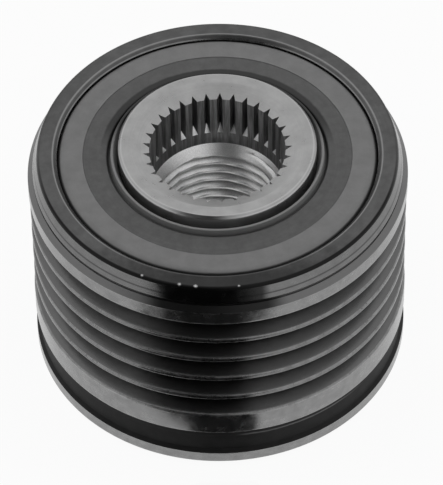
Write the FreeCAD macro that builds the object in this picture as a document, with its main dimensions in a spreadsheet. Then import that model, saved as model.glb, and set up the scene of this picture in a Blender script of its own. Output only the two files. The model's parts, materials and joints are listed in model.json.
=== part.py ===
import FreeCAD, Part
import os

import Sketcher
from FreeCAD import Placement, Rotation, Vector

# Overrunning alternator pulley: a ribbed ring that drives a threaded hub through a one-way
# roller clutch between two needle bearings, closed by a lip seal at each side.
# Millimetres, +Z along the axis towards the front face, Z = 0 on the hub's rear face.

SIZES = [
    # Ribbed ring
    ("flange_dia", 47.0, "outside diameter over the plain lands"),
    ("ring_rear_gap", 0.75, "ring's rear face in front of the hub's rear face"),
    ("face_drop", 1.3, "front face's outer edge below the lands"),
    ("face_round", 0.3, "radius of the front face's outer edge"),
    ("neck_drop", 0.6, "wide end of the tapered neck below the lands"),
    ("neck_length", 2.1, "front face to the wide end of the neck"),
    ("cap_groove_width", 0.4, "narrow groove behind the neck, which a dust cap snaps into"),
    ("cap_groove_depth", 0.2, "depth of that groove below the neck's wide end"),
    ("land_start", 3.2, "front face to the front land"),
    ("first_groove", 6.73, "front face to the middle of the first groove"),
    ("groove_count", 5, "belt grooves"),
    ("groove_pitch", 3.56, "spacing of the belt grooves"),
    ("rib_width", 0.6, "rib between two grooves' flanks at its tip"),
    ("groove_depth", 3.2, "rib tip to the groove's bottom"),
    ("groove_angle", 40, "angle between a groove's two flanks"),
    ("rib_tip_drop", 0.1, "rib tips below the lands"),
    ("rib_tip_ease", 0.17, "bevel that eases each side of a rib's tip"),
    ("rear_land_width", 3.35, "plain land behind the last groove"),
    ("relief_drop", 0.25, "shallow relief below the lands, at its front"),
    ("relief_foot_drop", 0.4, "shallow relief below the lands, at the rim"),
    ("relief_step", 0.25, "height of the step from the rear land into the relief"),
    ("relief_length", 3.6, "rear land to the rim's slope"),
    ("rim_height", 1.8, "height of the rear rim"),
    ("rim_slope", 0.5, "height of the slope from the relief out to the rim"),
    ("rim_bevel", 0.25, "bevel at the rim's rear edge"),
    ("seal_seat_wall", 3.7, "lands to the counterbore that each seal is pressed into"),
    ("seal_seat_depth", 4.3, "depth of that counterbore"),
    ("mouth_bevel", 0.5, "bevel at each counterbore's mouth"),
    ("seal_seat_ledge", 2.3, "counterbore to the bore that the outer sleeve is pressed into"),
    # Hub
    ("hub_front_rise", 1.45, "hub's front face in front of the ring's"),
    ("hub_front_bevel", 0.35, "bevel at the hub's front edge"),
    ("hub_rear_bevel", 0.5, "bevel at the hub's rear edge"),
    ("hub_face_width", 1.75, "hub's outside to the wide end of the socket's conical mouth"),
    ("mouth_width", 1.3, "that cone, from its wide end to the roots of the teeth"),
    ("mouth_angle", 23.7, "slope of that cone below the front face"),
    ("serration_height", 0.8, "root to tip of the tool socket's teeth"),
    ("serration_count", 33, "teeth of the tool socket"),
    ("serration_angle", 48, "angle of the space between two teeth"),
    ("serration_depth", 5.85, "front face to where the roots begin to run out"),
    ("serration_runout", 1.0, "length over which the roots run out"),
    ("socket_depth", 8.8, "front face to the end of the plain socket bore"),
    ("thread_step", 1.212, "socket bore to the minor diameter of the M16 x 1.5 thread, 14.376"),
    ("pilot_step", 1.312, "that minor diameter to the pilot bore for the shaft at the rear"),
    ("pilot_depth", 8.0, "depth of the pilot bore"),
    ("pilot_bevel", 0.5, "bevel at the pilot bore's mouth"),
    # Drawn sleeves
    ("outer_sleeve_wall", 1.5, "wall of the outer sleeve"),
    ("sleeve_end_gap", 0.225, "each end of the outer sleeve to the seal seat there"),
    ("sleeve_corner", 0.6, "drawn corner of the outer sleeve"),
    ("sleeve_lip", 0.8, "thickness of the outer sleeve's turned-in ends"),
    ("sleeve_lip_gap", 0.6, "turned-in ends to the inner raceway"),
    ("raceway_space", 2.5, "inner raceway to outer raceway"),
    ("inner_sleeve_wall", 1.25, "wall of the inner sleeve at the raceways"),
    ("inner_sleeve_setback", 0.5, "each end of the inner sleeve inside the outer sleeve's"),
    # One-way clutch
    ("roller_count", 12, "clutch rollers, each on its own flat"),
    ("roller_slack", 0.2, "clutch roller less thick than the space over a flat's middle"),
    ("roller_clearance", 0.03, "roller to outer sleeve with the clutch free"),
    ("clutch_cage_play", 0.1, "clutch cage to each thrust washer"),
    ("clutch_cage_inside", 0.12, "clutch cage to the corners of the flats"),
    ("clutch_cage_outside", 0.25, "clutch cage to the outer sleeve"),
    ("clutch_cage_rail", 0.8, "clutch cage in front of and behind its windows"),
    ("clutch_cage_bar", 0.95, "clutch cage between two windows, at its inside"),
    ("roller_end_play", 0.1, "roller's end to its window"),
    ("window_stop", 0.06, "roller to the window's side that it can meet"),
    ("spring_end_gap", 0.8, "accordion spring's side to the window's end"),
    ("spring_leaf", 0.25, "sloping leaf, measured towards the axis"),
    ("spring_plate", 0.16, "end plate of a spring"),
    ("spring_gap", 0.05, "spring to the window's side and to the roller"),
    ("spring_margin", 0.7, "a spring's bends to each raceway"),
    # Needle bearings
    ("needle_count", 16, "needles of each bearing"),
    ("running_clearance", 0.02, "needle to each raceway"),
    ("needle_cage_rail", 0.52, "needle cage in front of and behind its pockets"),
    ("bearing_length", 5.0, "length of each needle cage"),
    ("bearing_play", 0.2, "needle cage to its neighbour at each end"),
    ("bearing_cage_inside", 0.4, "needle cage to the inner raceway"),
    ("bearing_cage_outside", 0.4, "needle cage to the outer raceway"),
    ("pocket_clearance", 0.08, "needle to its pocket"),
    # Thrust washers
    ("washer_thickness", 1.0, "thickness of each thrust washer"),
    ("washer_inside", 0.02, "washer to the inner sleeve"),
    ("washer_outside", 0.2, "washer to the outer sleeve"),
    # Lip seals, with depths below the ring's face
    ("case_wall", 0.5, "sheet of the seal case"),
    ("case_bend", 0.9, "outside bend of the seal case"),
    ("case_drop", 0.3, "seal case below the ring's face"),
    ("case_face_width", 3.2, "face of the seal case, from its outside to its opening"),
    ("bond_width", 1.6, "rubber bonded behind the case, from its opening outwards"),
    ("bond_thickness", 0.6, "rubber bonded behind the case"),
    ("membrane_drop", 0.36, "rubber's outer face below the ring's face"),
    ("fold_gap", 1.3, "hub to the fold between the rubber's face and its dust lip"),
    ("fold_width", 0.3, "width of the fold at its bottom"),
    ("fold_depth", 0.9, "depth of the fold below the ring's face"),
    ("dust_lip_gap", 0.9, "hub to the outside of the dust lip's crest"),
    ("dust_lip_rise", 0.2, "dust lip in front of the ring's face"),
    ("dust_lip_width", 0.3, "flat on the crest of the dust lip"),
    ("sealing_lip_depth", 1.5, "ring's face to the sealing lip's edge"),
    ("sealing_lip_width", 0.3, "band of the lip that meets the hub"),
    ("sealing_lip_clearance", 0.05, "sealing lip to the hub"),
    ("lip_heel_depth", 2.2, "ring's face to the back of the lip"),
]

FLANGE = "(Dims.flange_dia / 2)"
RIB_TIP = f"({FLANGE} - Dims.rib_tip_drop)"
SEAL_SEAT = f"({FLANGE} - Dims.seal_seat_wall)"
SLEEVE_SEAT = f"({SEAL_SEAT} - Dims.seal_seat_ledge)"
OUTER_RACE = f"({SLEEVE_SEAT} - Dims.outer_sleeve_wall)"
INNER_RACE = f"({OUTER_RACE} - Dims.raceway_space)"
HUB_OUTSIDE = f"({INNER_RACE} - Dims.inner_sleeve_wall)"
MOUTH = f"({HUB_OUTSIDE} - Dims.hub_face_width)"
TOOTH_ROOT = f"({MOUTH} - Dims.mouth_width)"
TOOTH_TIP = f"({TOOTH_ROOT} - Dims.serration_height)"
THREAD_MINOR = f"({TOOTH_TIP} - Dims.thread_step)"
PILOT = f"({THREAD_MINOR} + Dims.pilot_step)"

GROOVE_HALF = "((Dims.groove_pitch - Dims.rib_width) / 2)"
GROOVES_LENGTH = "((Dims.groove_count - 1) * Dims.groove_pitch)"
RING_REAR = "Dims.ring_rear_gap"
RIM_TOP = f"({RING_REAR} + Dims.rim_height + Dims.rim_slope)"
LAND_END = f"({RIM_TOP} + Dims.relief_length)"
LAST_GROOVE = f"({LAND_END} + Dims.rear_land_width + {GROOVE_HALF})"
FIRST_GROOVE = f"({LAST_GROOVE} + {GROOVES_LENGTH})"
RING_FRONT = f"({FIRST_GROOVE} + Dims.first_groove)"
HUB_FRONT = f"({RING_FRONT} + Dims.hub_front_rise)"

SLEEVE_REAR = f"({RING_REAR} + Dims.seal_seat_depth + Dims.sleeve_end_gap)"
SLEEVE_FRONT = f"({RING_FRONT} - Dims.seal_seat_depth - Dims.sleeve_end_gap)"
SLEEVE_MIDDLE = f"(({SLEEVE_REAR} + {SLEEVE_FRONT}) / 2)"
REAR_BEARING = f"({SLEEVE_REAR} + Dims.sleeve_lip + Dims.bearing_play)"
FRONT_BEARING = f"({SLEEVE_FRONT} - Dims.sleeve_lip - Dims.bearing_play - Dims.bearing_length)"
REAR_WASHER = f"({REAR_BEARING} + Dims.bearing_length + Dims.bearing_play)"
FRONT_WASHER = f"({FRONT_BEARING} - Dims.bearing_play - Dims.washer_thickness)"
CLUTCH_REAR = f"({REAR_WASHER} + Dims.washer_thickness)"
CLUTCH_FRONT = FRONT_WASHER

NEEDLE_RADIUS = "(Dims.raceway_space / 2 - Dims.running_clearance)"
NEEDLE_LENGTH = "(Dims.bearing_length - 2 * Dims.needle_cage_rail - 2 * Dims.pocket_clearance)"
NEEDLE_CIRCLE = f"({INNER_RACE} + Dims.raceway_space / 2)"
ROLLER_RADIUS = "((Dims.raceway_space - Dims.roller_slack) / 2)"
ROLLER_CIRCLE = f"({OUTER_RACE} - Dims.roller_clearance - {ROLLER_RADIUS})"
ROLLER_OUT = f"({INNER_RACE} + {ROLLER_RADIUS})"
ROLLER_ACROSS = f"sqrt({ROLLER_CIRCLE} * {ROLLER_CIRCLE} - {ROLLER_OUT} * {ROLLER_OUT})"
FLAT_CORNER = f"({INNER_RACE} / cos(180 / Dims.roller_count))"
CAGE_INSIDE = f"({FLAT_CORNER} + Dims.clutch_cage_inside)"
CAGE_SIDE = f"({CAGE_INSIDE} * tan(180 / Dims.roller_count))"
WINDOW_STOP = f"({ROLLER_ACROSS} + {ROLLER_RADIUS} + Dims.window_stop)"
WINDOW_START = f"({WINDOW_STOP} - 2 * {CAGE_SIDE} + Dims.clutch_cage_bar)"
WINDOW_REAR = f"({CLUTCH_REAR} + Dims.clutch_cage_play + Dims.clutch_cage_rail)"
WINDOW_LENGTH = f"({CLUTCH_FRONT} - {CLUTCH_REAR} - 2 * (Dims.clutch_cage_play + Dims.clutch_cage_rail))"

doc = FreeCAD.newDocument("alternator_pulley")
sheet = doc.addObject("Spreadsheet::Sheet", "Dims")
nodes = []


def fill_sheet():
    """Writes each driving dimension with its name and note."""
    for row, (name, value, note) in enumerate(SIZES, 1):
        sheet.set(f"A{row}", name)
        sheet.set(f"B{row}", str(value))
        sheet.set(f"C{row}", note)
        sheet.setAlias(f"B{row}", name)
    doc.recompute()


def origin_part(body, role):
    """The body's own origin plane or axis with this role."""
    return [part for part in body.Origin.OriginFeatures if part.Role == role][0]


def new_body(label):
    """A body that becomes one node of the pulley."""
    body = doc.addObject("PartDesign::Body", label)
    body.Label = label
    nodes.append(body)
    return body


def outline(body, name, corners, plane="XZ_Plane"):
    """A closed outline, drawn roughly and then driven corner by corner by the sheet."""
    sketch = body.newObject("Sketcher::SketchObject", name)
    sketch.AttachmentSupport = (origin_part(body, plane), [""])
    sketch.MapMode = "FlatFace"
    count = len(corners)
    rough = [Rotation(Vector(0, 0, 1), 360 * i / count).multVec(Vector(8, 0, 0)) for i in range(count)]
    for i in range(count):
        sketch.addGeometry(Part.LineSegment(rough[i], rough[(i + 1) % count]), False)
    for i in range(count):
        sketch.addConstraint(Sketcher.Constraint("Coincident", i, 2, (i + 1) % count, 1))
    for i, (across, up) in enumerate(corners):
        for kind, start, formula in (("DistanceX", rough[i].x, across), ("DistanceY", rough[i].y, up)):
            number = sketch.addConstraint(Sketcher.Constraint(kind, -1, 1, i, 1, start))
            sketch.setExpression(f"Constraints[{number}]", formula)
    return sketch


def revolve(body, sketch, kind="PartDesign::Revolution"):
    """Turns the outline once round the Z axis, adding or cutting."""
    feature = body.newObject(kind, kind.split("::")[1])
    feature.Profile = sketch
    feature.ReferenceAxis = (sketch, ["V_Axis"])
    feature.Angle = 360
    return feature


def turned(label, corners):
    """A body that is one turned outline."""
    body = new_body(label)
    revolve(body, outline(body, label + "_outline", corners))
    return body


def polar(body, feature, count):
    """Repeats a feature evenly round the Z axis."""
    pattern = body.newObject("PartDesign::PolarPattern", "PolarPattern")
    pattern.Originals = [feature]
    pattern.Axis = (origin_part(body, "Z_Axis"), [""])
    pattern.Angle = 360
    pattern.setExpression("Occurrences", count)
    body.Tip = pattern
    return pattern


def round_edge(body, radius, height, size):
    """Rounds the circular edge at this radius and height of a turned body."""
    doc.recompute()
    base = body.Tip
    wanted = [float(body.evalExpression(value)) for value in (radius, height)]
    names = []
    for number, edge in enumerate(base.Shape.Edges, 1):
        if not isinstance(edge.Curve, Part.Circle):
            continue
        place = (edge.Curve.Radius, edge.Curve.Center.z)
        if max(abs(found - value) for found, value in zip(place, wanted)) < 1e-4:
            names.append(f"Edge{number}")
    if len(names) != 1:
        raise RuntimeError(f"{body.Label}: {len(names)} edges at radius and height {wanted}")
    fillet = body.newObject("PartDesign::Fillet", "Fillet")
    fillet.Base = (base, names)
    fillet.setExpression("Radius", size)
    body.Tip = fillet


def pulley_ring():
    """Ribbed ring: a turned blank, with one belt groove cut round it and repeated along Z."""
    mouth = f"{SEAL_SEAT} + Dims.mouth_bevel"
    neck = f"{FLANGE} - Dims.neck_drop"
    neck_end = f"{RING_FRONT} - Dims.neck_length"
    body = turned("pulley_ring", [
        (SLEEVE_SEAT, f"{RING_REAR} + Dims.seal_seat_depth"),
        (SEAL_SEAT, f"{RING_REAR} + Dims.seal_seat_depth"),
        (SEAL_SEAT, f"{RING_REAR} + Dims.mouth_bevel"),
        (mouth, RING_REAR),
        (f"{FLANGE} - Dims.rim_bevel", RING_REAR),
        (FLANGE, f"{RING_REAR} + Dims.rim_bevel"),
        (FLANGE, f"{RING_REAR} + Dims.rim_height"),
        (f"{FLANGE} - Dims.relief_foot_drop", RIM_TOP),
        (f"{FLANGE} - Dims.relief_drop", f"{LAND_END} - Dims.relief_step"),
        (FLANGE, LAND_END),
        (FLANGE, LAST_GROOVE),
        (RIB_TIP, LAST_GROOVE),
        (RIB_TIP, FIRST_GROOVE),
        (FLANGE, FIRST_GROOVE),
        (FLANGE, f"{RING_FRONT} - Dims.land_start"),
        (neck, f"{neck_end} - Dims.cap_groove_width"),
        (f"{neck} - Dims.cap_groove_depth", f"{neck_end} - Dims.cap_groove_width"),
        (f"{neck} - Dims.cap_groove_depth", neck_end),
        (neck, neck_end),
        (f"{FLANGE} - Dims.face_drop", RING_FRONT),
        (mouth, RING_FRONT),
        (SEAL_SEAT, f"{RING_FRONT} - Dims.mouth_bevel"),
        (SEAL_SEAT, f"{RING_FRONT} - Dims.seal_seat_depth"),
        (SLEEVE_SEAT, f"{RING_FRONT} - Dims.seal_seat_depth"),
    ])
    half_angle = "(Dims.groove_angle / 2)"
    outside = f"({FLANGE} + Dims.groove_depth)"
    wide_half = f"({GROOVE_HALF} + Dims.rib_tip_ease)"
    eased_tip = f"({RIB_TIP} - Dims.rib_tip_ease * cos({half_angle}))"
    eased_half = f"({GROOVE_HALF} - Dims.rib_tip_ease * sin({half_angle}))"
    bottom = f"({RIB_TIP} - Dims.groove_depth)"
    bottom_half = f"({GROOVE_HALF} - Dims.groove_depth * tan({half_angle}))"
    groove = revolve(body, outline(body, "groove_outline", [
        (outside, f"{LAST_GROOVE} - {wide_half}"),
        (outside, f"{LAST_GROOVE} + {wide_half}"),
        (RIB_TIP, f"{LAST_GROOVE} + {wide_half}"),
        (eased_tip, f"{LAST_GROOVE} + {eased_half}"),
        (bottom, f"{LAST_GROOVE} + {bottom_half}"),
        (bottom, f"{LAST_GROOVE} - {bottom_half}"),
        (eased_tip, f"{LAST_GROOVE} - {eased_half}"),
        (RIB_TIP, f"{LAST_GROOVE} - {wide_half}"),
    ]), "PartDesign::Groove")
    grooves = body.newObject("PartDesign::LinearPattern", "grooves")
    grooves.Originals = [groove]
    grooves.Direction = (origin_part(body, "Z_Axis"), [""])
    grooves.setExpression("Occurrences", "Dims.groove_count")
    grooves.setExpression("Length", GROOVES_LENGTH)
    body.Tip = grooves
    round_edge(body, f"{FLANGE} - Dims.face_drop", RING_FRONT, "Dims.face_round")
    return body


def hub():
    """Hub: a turned blank, cut by the star-shaped broach that leaves the tool socket's teeth."""
    cone = "tan(Dims.mouth_angle)"
    blank = turned("hub_blank", [
        (f"{PILOT} + Dims.pilot_bevel", "0"),
        (f"{HUB_OUTSIDE} - Dims.hub_rear_bevel", "0"),
        (HUB_OUTSIDE, "Dims.hub_rear_bevel"),
        (HUB_OUTSIDE, f"{HUB_FRONT} - Dims.hub_front_bevel"),
        (f"{HUB_OUTSIDE} - Dims.hub_front_bevel", HUB_FRONT),
        (MOUTH, HUB_FRONT),
        (TOOTH_TIP, f"{HUB_FRONT} - ({MOUTH} - {TOOTH_TIP}) * {cone}"),
        (TOOTH_TIP, f"{HUB_FRONT} - Dims.socket_depth"),
        (THREAD_MINOR, f"{HUB_FRONT} - Dims.socket_depth - Dims.thread_step"),
        (THREAD_MINOR, "Dims.pilot_depth + Dims.pilot_step"),
        (PILOT, "Dims.pilot_depth"),
        (PILOT, "Dims.pilot_bevel"),
    ])
    deep = f"({TOOTH_TIP} - Dims.serration_height)"
    half = "(2 * Dims.serration_height * tan(Dims.serration_angle / 2))"
    star = new_body("broach_star")
    centre = star.newObject("PartDesign::AdditiveCylinder", "broach_core")
    centre.setExpression("Radius", f"{TOOTH_TIP} - Dims.serration_height / 2")
    centre.setExpression("Height", HUB_FRONT)
    tooth_outline = outline(star, "tooth_space_outline", [
        (deep, f"-{half}"),
        (TOOTH_ROOT, "0"),
        (deep, half),
    ], "XY_Plane")
    tooth_space = star.newObject("PartDesign::Pad", "tooth_space")
    tooth_space.Profile = tooth_outline
    tooth_space.setExpression("Length", HUB_FRONT)
    polar(star, tooth_space, "Dims.serration_count")
    slope = "Dims.serration_runout / Dims.serration_height"
    start = f"{HUB_FRONT} - Dims.serration_depth"
    reach = turned("broach_reach", [
        ("0", f"{start} - 2 * Dims.serration_runout"),
        (deep, f"{start} - 2 * Dims.serration_runout"),
        (MOUTH, f"{start} + Dims.mouth_width * {slope}"),
        (MOUTH, HUB_FRONT),
        ("0", HUB_FRONT),
    ])
    broach = doc.addObject("Part::Common", "broach")
    broach.Base = star
    broach.Tool = reach
    cut = doc.addObject("Part::Cut", "hub")
    cut.Label = "hub"
    cut.Base = blank
    cut.Tool = broach
    for helper in (blank, star, reach):
        nodes.remove(helper)
    nodes.append(cut)
    return cut


def outer_sleeve():
    """Drawn outer sleeve: the clutch's and both bearings' outer raceway, with turned-in ends."""
    lip = f"({INNER_RACE} + Dims.sleeve_lip_gap)"
    return turned("outer_sleeve", [
        (lip, SLEEVE_REAR),
        (f"{SLEEVE_SEAT} - Dims.sleeve_corner", SLEEVE_REAR),
        (SLEEVE_SEAT, f"{SLEEVE_REAR} + Dims.sleeve_corner"),
        (SLEEVE_SEAT, f"{SLEEVE_FRONT} - Dims.sleeve_corner"),
        (f"{SLEEVE_SEAT} - Dims.sleeve_corner", SLEEVE_FRONT),
        (lip, SLEEVE_FRONT),
        (lip, f"{SLEEVE_FRONT} - Dims.sleeve_lip"),
        (OUTER_RACE, f"{SLEEVE_FRONT} - Dims.sleeve_lip"),
        (OUTER_RACE, f"{SLEEVE_REAR} + Dims.sleeve_lip"),
        (lip, f"{SLEEVE_REAR} + Dims.sleeve_lip"),
    ])


def inner_sleeve():
    """Inner sleeve pressed on the hub: a raceway at each end and one flat a roller between them."""
    body = new_body("inner_sleeve")
    flats = body.newObject("PartDesign::AdditivePrism", "roller_flats")
    flats.setExpression("Polygon", "Dims.roller_count")
    flats.setExpression("Circumradius", FLAT_CORNER)
    flats.setExpression("Height", f"{CLUTCH_FRONT} - {CLUTCH_REAR}")
    flats.Placement = Placement(Vector(0, 0, 0), Rotation(Vector(0, 0, 1), 180 / sheet.roller_count))
    flats.setExpression("Placement.Base.z", CLUTCH_REAR)
    raceways = body.newObject("PartDesign::AdditiveCylinder", "raceways")
    raceways.setExpression("Radius", INNER_RACE)
    raceways.setExpression("Height", f"{SLEEVE_FRONT} - {SLEEVE_REAR} - 2 * Dims.inner_sleeve_setback")
    raceways.setExpression("Placement.Base.z", f"{SLEEVE_REAR} + Dims.inner_sleeve_setback")
    bore = body.newObject("PartDesign::SubtractiveCylinder", "bore")
    bore.setExpression("Radius", HUB_OUTSIDE)
    bore.setExpression("Height", HUB_FRONT)
    return body


def clutch_rollers():
    """Clutch rollers, each resting on its flat and just clear of the outer raceway."""
    body = new_body("clutch_rollers")
    roller = body.newObject("PartDesign::AdditiveCylinder", "roller")
    roller.setExpression("Radius", ROLLER_RADIUS)
    roller.setExpression("Height", f"{WINDOW_LENGTH} - 2 * Dims.roller_end_play")
    roller.setExpression("Placement.Base.x", ROLLER_OUT)
    roller.setExpression("Placement.Base.y", ROLLER_ACROSS)
    roller.setExpression("Placement.Base.z", f"{WINDOW_REAR} + Dims.roller_end_play")
    polar(body, roller, "Dims.roller_count")
    return body


def clutch_cage():
    """Clutch cage: a ring with one window for each roller and its spring."""
    outside = f"({OUTER_RACE} - Dims.clutch_cage_outside)"
    rear = f"({CLUTCH_REAR} + Dims.clutch_cage_play)"
    front = f"({CLUTCH_FRONT} - Dims.clutch_cage_play)"
    body = turned("clutch_cage", [
        (CAGE_INSIDE, rear),
        (outside, rear),
        (outside, front),
        (CAGE_INSIDE, front),
    ])
    window = body.newObject("PartDesign::SubtractiveBox", "window")
    window.setExpression("Length", f"{OUTER_RACE} - {HUB_OUTSIDE}")
    window.setExpression("Width", f"{WINDOW_STOP} - {WINDOW_START}")
    window.setExpression("Height", WINDOW_LENGTH)
    window.setExpression("Placement.Base.x", HUB_OUTSIDE)
    window.setExpression("Placement.Base.y", WINDOW_START)
    window.setExpression("Placement.Base.z", WINDOW_REAR)
    polar(body, window, "Dims.roller_count")
    return body


def clutch_springs():
    """Accordion leaf springs, each between its window's side and the roller that it pushes."""
    first = f"({WINDOW_START} + Dims.spring_gap)"
    last = f"({ROLLER_ACROSS} - {ROLLER_RADIUS} - Dims.spring_gap)"
    first_back = f"({first} + Dims.spring_plate)"
    last_back = f"({last} - Dims.spring_plate)"
    inside = f"({INNER_RACE} + Dims.spring_margin)"
    outside = f"({OUTER_RACE} - Dims.spring_margin)"
    half_leaf = "Dims.spring_leaf / 2"
    leaves = 4
    folds = []
    for fold in range(1, leaves):
        bend = inside if fold % 2 else outside
        folds.append((bend, f"{first_back} + ({last_back} - {first_back}) * {fold} / {leaves}"))
    corners = [(inside, first), (f"{outside} + {half_leaf}", first)]
    corners += [(f"{outside} + {half_leaf}", first_back)]
    corners += [(f"{bend} + {half_leaf}", across) for bend, across in folds]
    corners += [(f"{outside} + {half_leaf}", last_back)]
    corners += [(f"{outside} + {half_leaf}", last), (inside, last)]
    corners += [(inside, last_back), (f"{outside} - {half_leaf}", last_back)]
    corners += [(f"{bend} - {half_leaf}", across) for bend, across in reversed(folds)]
    corners += [(f"{outside} - {half_leaf}", first_back), (inside, first_back)]
    body = new_body("clutch_springs")
    leaf_outline = outline(body, "spring_outline", corners, "XY_Plane")
    leaf_outline.setExpression("AttachmentOffset.Base.z", f"{WINDOW_REAR} + Dims.spring_end_gap")
    spring = body.newObject("PartDesign::Pad", "spring")
    spring.Profile = leaf_outline
    spring.setExpression("Length", f"{WINDOW_LENGTH} - 2 * Dims.spring_end_gap")
    polar(body, spring, "Dims.roller_count")
    return body


def needle_bearing(side, rear):
    """Needle cage with its pockets, and the needles that run in them."""
    inside = f"({INNER_RACE} + Dims.bearing_cage_inside)"
    outside = f"({OUTER_RACE} - Dims.bearing_cage_outside)"
    front = f"({rear} + Dims.bearing_length)"
    cage = turned(f"{side}_bearing_cage", [
        (inside, rear),
        (outside, rear),
        (outside, front),
        (inside, front),
    ])
    pocket = cage.newObject("PartDesign::SubtractiveCylinder", "pocket")
    pocket.setExpression("Radius", f"{NEEDLE_RADIUS} + Dims.pocket_clearance")
    pocket.setExpression("Height", "Dims.bearing_length - 2 * Dims.needle_cage_rail")
    pocket.setExpression("Placement.Base.x", NEEDLE_CIRCLE)
    pocket.setExpression("Placement.Base.z", f"{rear} + Dims.needle_cage_rail")
    polar(cage, pocket, "Dims.needle_count")
    needles = new_body(f"{side}_bearing_needles")
    needle = needles.newObject("PartDesign::AdditiveCylinder", "needle")
    needle.setExpression("Radius", NEEDLE_RADIUS)
    needle.setExpression("Height", NEEDLE_LENGTH)
    needle.setExpression("Placement.Base.x", NEEDLE_CIRCLE)
    needle.setExpression("Placement.Base.z", f"{rear} + Dims.needle_cage_rail + Dims.pocket_clearance")
    polar(needles, needle, "Dims.needle_count")


def thrust_washer(side, rear):
    """Thrust washer between the clutch and a needle bearing."""
    inside = f"({INNER_RACE} + Dims.washer_inside)"
    outside = f"({OUTER_RACE} - Dims.washer_outside)"
    front = f"({rear} + Dims.washer_thickness)"
    turned(f"{side}_thrust_washer", [
        (inside, rear),
        (outside, rear),
        (outside, front),
        (inside, front),
    ])


def seal(side, face, inward):
    """Lip seal: a pressed steel case and the rubber bonded to it, by depth below the ring's face."""
    def at(depth):
        return f"{face} {inward} ({depth})"

    opening = f"({SEAL_SEAT} - Dims.case_face_width)"
    inner_wall = f"({SEAL_SEAT} - Dims.case_wall)"
    plate_back = "Dims.case_drop + Dims.case_wall"
    case = turned(f"{side}_seal_case", [
        (opening, at("Dims.case_drop")),
        (SEAL_SEAT, at("Dims.case_drop")),
        (SEAL_SEAT, at("Dims.seal_seat_depth")),
        (inner_wall, at("Dims.seal_seat_depth")),
        (inner_wall, at(plate_back)),
        (opening, at(plate_back)),
    ])
    round_edge(case, SEAL_SEAT, at("Dims.case_drop"), "Dims.case_bend")
    bond = f"({opening} + Dims.bond_width)"
    fold = f"({HUB_OUTSIDE} + Dims.fold_gap)"
    crest = f"({HUB_OUTSIDE} + Dims.dust_lip_gap)"
    edge = f"({HUB_OUTSIDE} + Dims.sealing_lip_clearance)"
    bond_back = f"{plate_back} + Dims.bond_thickness"
    turned(f"{side}_seal_lip", [
        (opening, at("Dims.membrane_drop")),
        (opening, at(plate_back)),
        (bond, at(plate_back)),
        (bond, at(bond_back)),
        (f"{fold} + Dims.bond_thickness", at(bond_back)),
        (fold, at("Dims.lip_heel_depth")),
        (f"{edge} + Dims.sealing_lip_width", at("Dims.lip_heel_depth")),
        (edge, at("Dims.sealing_lip_depth")),
        (edge, at("Dims.sealing_lip_depth - Dims.sealing_lip_width")),
        (f"{crest} - Dims.dust_lip_width", at("-Dims.dust_lip_rise")),
        (crest, at("-Dims.dust_lip_rise")),
        (f"{fold} - Dims.fold_width", at("Dims.fold_depth")),
        (fold, at("Dims.fold_depth")),
        (fold, at("Dims.membrane_drop")),
    ])


def check_document():
    """Stops the build where an object failed or a node has no valid solid."""
    for item in doc.Objects:
        if "Invalid" in item.State or "Error" in item.State:
            raise RuntimeError(f"{item.Label} failed: {item.State}")
    for node in nodes:
        if node.Shape.isNull() or not node.Shape.isValid() or not node.Shape.Solids:
            raise RuntimeError(f"{node.Label} has no valid solid")


def write_parts():
    """Writes one file for each node and prints its solids and volume."""
    os.makedirs("parts", exist_ok=True)
    for node in nodes:
        node.Shape.exportStep(f"parts/{node.Label}.step")
        print(f"{node.Label}: {len(node.Shape.Solids)} solids, {node.Shape.Volume:.2f} mm3")


fill_sheet()
pulley_ring()
hub()
outer_sleeve()
inner_sleeve()
clutch_rollers()
clutch_cage()
clutch_springs()
needle_bearing("front", FRONT_BEARING)
needle_bearing("rear", REAR_BEARING)
thrust_washer("front", FRONT_WASHER)
thrust_washer("rear", REAR_WASHER)
seal("front", RING_FRONT, "-")
seal("rear", RING_REAR, "+")
doc.recompute()
check_document()
write_parts()
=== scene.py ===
"""Looks of an overrunning alternator pulley, laid out as an add-on and run as a script.

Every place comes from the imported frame. The scene is in metres, with +Z along the pulley's axis.
"""
import json
import math

import bpy
import numpy as np
from mathutils import Matrix, Vector


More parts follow.
